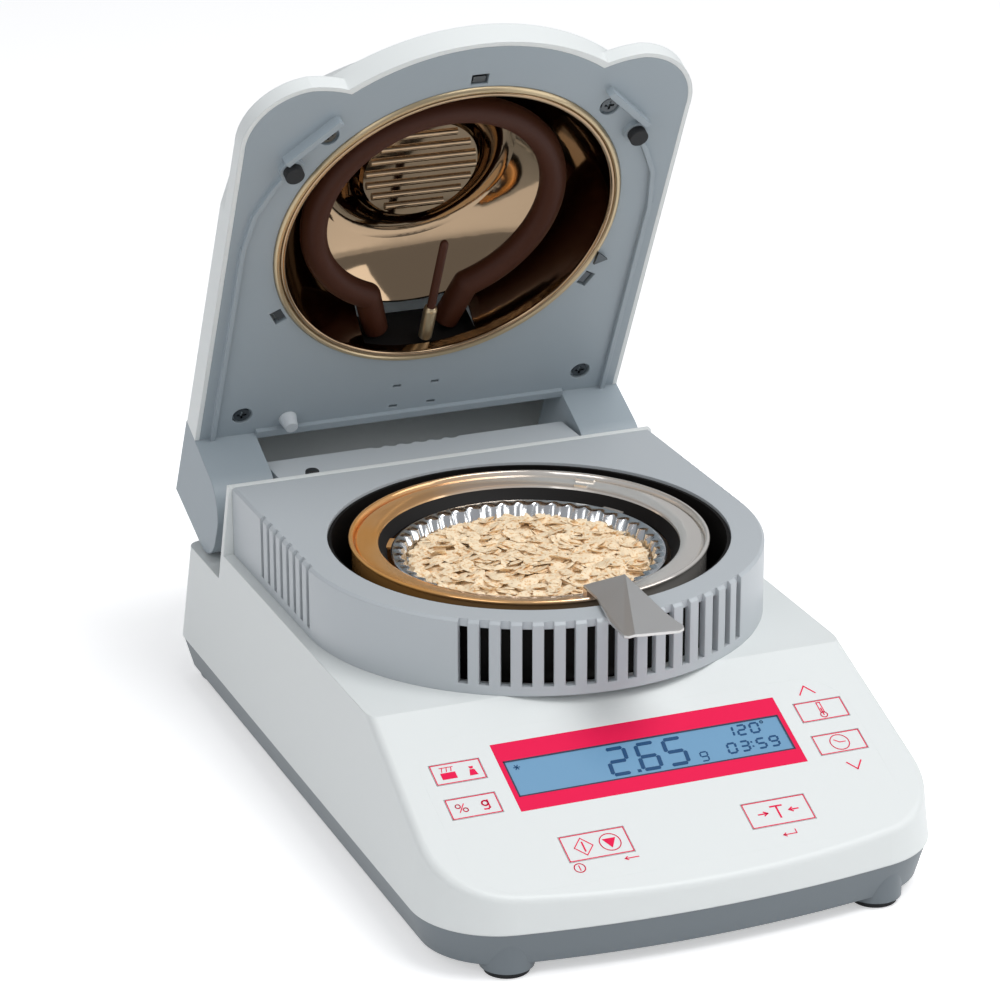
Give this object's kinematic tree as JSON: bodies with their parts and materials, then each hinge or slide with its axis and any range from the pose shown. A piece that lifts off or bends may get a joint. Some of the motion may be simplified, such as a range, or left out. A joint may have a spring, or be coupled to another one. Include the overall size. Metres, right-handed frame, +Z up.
{
  "type": "moisture analyzer",
  "caption": "Bench moisture analyzer with an open heated reflector lid over a weighing chamber, sample pan on a lifting ring and a sloped keypad with display.",
  "frame": {"origin": "centre of the bounding box at bench height", "axes": "+X to the object's right as its user sees it, +Y from the user towards the hinge, +Z up"},
  "size_m": [0.1698, 0.3062, 0.2408],
  "materials": {
    "white_shell": "satin, fine mould texture",
    "light_grey_shell": "satin moulded",
    "grey_shell": "satin, fine mould texture",
    "grey_liner": "satin, fine mould texture",
    "grey_tray": "satin moulded",
    "black_plastic": "moulded",
    "black_enamel": "heat resistant black coat",
    "rubber": "moulded",
    "steel_screws": "zinc plated",
    "machined_aluminium": "milled",
    "circuit_board": "solder resist",
    "panel_film": "fine textured film",
    "key_film": "fine textured film with red outline",
    "red_print": "printed film",
    "display_glass": "backlit liquid crystal display",
    "gold_steel": "polished, straw gold",
    "gold_reflector": "polished, heat tinted",
    "cream_rim": "satin",
    "brushed_steel": "brushed stainless",
    "foil_aluminium": "pressed foil, bright",
    "grain": "rolled grain flakes",
    "heater_sheath": "oxidised sheath",
    "probe_steel": "heat tinted",
    "clip_steel": "spring steel"
  },
  "bodies": {
    "base": {"base_tray": "grey_tray", "front_pads": "rubber", "base_screws": "steel_screws", "upper_housing": "white_shell", "hinge_tower": "light_grey_shell", "chamber_housing": "grey_shell", "chamber_cup": "black_enamel", "weighing_cell": "machined_aluminium", "cell_foot": "machined_aluminium", "cell_post": "machined_aluminium", "supply_board": "circuit_board", "transformer": "black_plastic", "panel_overlay": "panel_film", "display_frame": "red_print", "display_glass": "display_glass", "display_module": "black_plastic", "control_board": "circuit_board", "key_switches": "black_plastic", "power_inlet": "black_plastic", "data_port": "steel_screws", "hinge_pins": "steel_screws"},
    "lid": {"lid_liner": "grey_liner", "lid_cover": "white_shell", "reflector": "gold_reflector", "reflector_rim": "cream_rim", "reflector_centre": "gold_reflector", "heater_tube": "heater_sheath", "heater_block": "black_enamel", "temperature_probe": "probe_steel", "lid_bumpers": "rubber", "lid_screws": "steel_screws", "reflector_clips": "clip_steel", "lid_peg": "light_grey_shell", "hinge_bushes": "black_plastic"},
    "shield": {"draft_shield": "gold_steel"},
    "support": {"pan_support": "brushed_steel"},
    "handler": {"pan_handler": "brushed_steel", "handler_grip": "brushed_steel"},
    "pan": {"sample_pan": "foil_aluminium", "grain_sample": "grain"},
    "lid_switch": {"lid_switch_plunger": "black_plastic"},
    "fuse_drawer": {"fuse_drawer": "black_plastic"},
    "foot_left_pad": {"foot_pad_left": "rubber"},
    "foot_left_screw": {"foot_screw_left": "black_plastic"},
    "foot_right_pad": {"foot_pad_right": "rubber"},
    "foot_right_screw": {"foot_screw_right": "black_plastic"},
    "key_sample": {"key_sample": "key_film"},
    "key_percent": {"key_percent": "key_film"},
    "key_temperature": {"key_temperature": "key_film"},
    "key_time": {"key_time": "key_film"},
    "key_start": {"key_start": "key_film"},
    "key_tare": {"key_tare": "key_film"}
  },
  "joints": [
    {"name": "lid_hinge", "type": "hinge", "parent": "base", "child": "lid", "pos_m": [0, 0.09251, 0.0693], "axis": [-1, 0, 0], "range_deg": [-63.4, 4]},
    {"name": "shield_lift", "type": "slide", "parent": "base", "child": "shield", "axis": [0, 0, 1], "range_m": [0, 0.034]},
    {"name": "support_lift", "type": "slide", "parent": "shield", "child": "support", "axis": [0, 0, 1], "range_m": [0, 0.032]},
    {"name": "handler_lift", "type": "slide", "parent": "support", "child": "handler", "axis": [0, 0, 1], "range_m": [0, 0.009]},
    {"name": "pan_lift", "type": "slide", "parent": "handler", "child": "pan", "axis": [0, 0, 1], "range_m": [0, 0.015]},
    {"name": "key_sample_press", "type": "slide", "parent": "base", "child": "key_sample", "axis": [0, 0.3907, -0.9205], "range_m": [0, 0.0004], "stiffness_N_per_m": 600, "springref_m": -0.0008},
    {"name": "key_percent_press", "type": "slide", "parent": "base", "child": "key_percent", "axis": [0, 0.3907, -0.9205], "range_m": [0, 0.0004], "stiffness_N_per_m": 600, "springref_m": -0.0008},
    {"name": "key_temperature_press", "type": "slide", "parent": "base", "child": "key_temperature", "axis": [0, 0.3907, -0.9205], "range_m": [0, 0.0004], "stiffness_N_per_m": 600, "springref_m": -0.0008},
    {"name": "key_time_press", "type": "slide", "parent": "base", "child": "key_time", "axis": [0, 0.3907, -0.9205], "range_m": [0, 0.0004], "stiffness_N_per_m": 600, "springref_m": -0.0008},
    {"name": "key_start_press", "type": "slide", "parent": "base", "child": "key_start", "axis": [0, 0.3907, -0.9205], "range_m": [0, 0.0004], "stiffness_N_per_m": 600, "springref_m": -0.0008},
    {"name": "key_tare_press", "type": "slide", "parent": "base", "child": "key_tare", "axis": [0, 0.3907, -0.9205], "range_m": [0, 0.0004], "stiffness_N_per_m": 600, "springref_m": -0.0008},
    {"name": "lid_switch_press", "type": "slide", "parent": "base", "child": "lid_switch", "axis": [0, 0, -1], "range_m": [0, 0.002], "stiffness_N_per_m": 300, "springref_m": -0.001},
    {"name": "fuse_drawer_pull", "type": "slide", "parent": "base", "child": "fuse_drawer", "axis": [0, 1, 0], "range_m": [0, 0.012]},
    {"name": "foot_left_height", "type": "slide", "parent": "base", "child": "foot_left_pad", "axis": [0, 0, -1], "range_m": [0, 0.003]},
    {"name": "foot_left_turn", "type": "hinge", "parent": "foot_left_pad", "child": "foot_left_screw", "pos_m": [-0.07, 0.09371, 0.002], "axis": [0, 0, -1], "range_deg": [0, 1080]},
    {"name": "foot_right_height", "type": "slide", "parent": "base", "child": "foot_right_pad", "axis": [0, 0, -1], "range_m": [0, 0.003]},
    {"name": "foot_right_turn", "type": "hinge", "parent": "foot_right_pad", "child": "foot_right_screw", "pos_m": [0.07, 0.09371, 0.002], "axis": [0, 0, -1], "range_deg": [0, 1080]}
  ],
  "couplings": [
    {"joint": "foot_left_turn", "follows": "foot_left_height", "rad_per_m": 6283.2},
    {"joint": "foot_right_turn", "follows": "foot_right_height", "rad_per_m": 6283.2}
  ]
}
